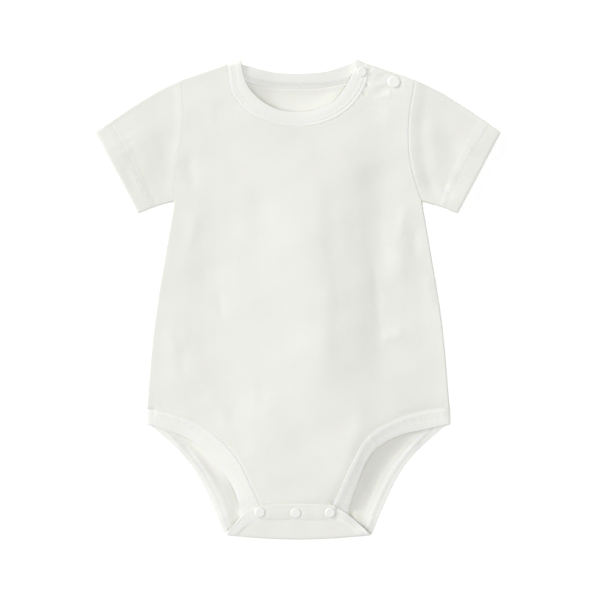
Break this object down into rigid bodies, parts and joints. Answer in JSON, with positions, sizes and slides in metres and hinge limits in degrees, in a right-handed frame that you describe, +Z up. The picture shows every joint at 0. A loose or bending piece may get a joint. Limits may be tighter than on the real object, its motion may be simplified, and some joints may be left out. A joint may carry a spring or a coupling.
{
  "type": "baby bodysuit",
  "caption": "Short-sleeved baby bodysuit in plain cotton knit, laid flat, with a ribbed crew neck, shoulder snaps, bound leg openings and a snap crotch.",
  "frame": {"origin": "on the table, under the middle of the laid-out garment's outline", "axes": "+Z up out of the table, +Y towards the neck, +X towards the wearer's left sleeve"},
  "size_m": [0.356, 0.4218, 0.0133],
  "materials": {
    "body_cotton": "off-white cotton interlock, matt",
    "band_cotton": "off-white doubled cotton rib, matt",
    "snap_plastic": "white moulded plastic, softly shiny"
  },
  "bodies": {
    "root": {"front_panel": "body_cotton", "back_panel": "body_cotton", "sleeve_left": "body_cotton", "sleeve_right": "body_cotton", "neck_band": "band_cotton", "leg_binding_left": "band_cotton", "leg_binding_right": "band_cotton", "shoulder_underlap": "body_cotton", "crotch_placket": "body_cotton", "snap_neck": "snap_plastic", "snap_shoulder": "snap_plastic", "snap_crotch_right": "snap_plastic", "snap_crotch_middle": "snap_plastic", "snap_crotch_left": "snap_plastic"}
  },
  "joints": []
}
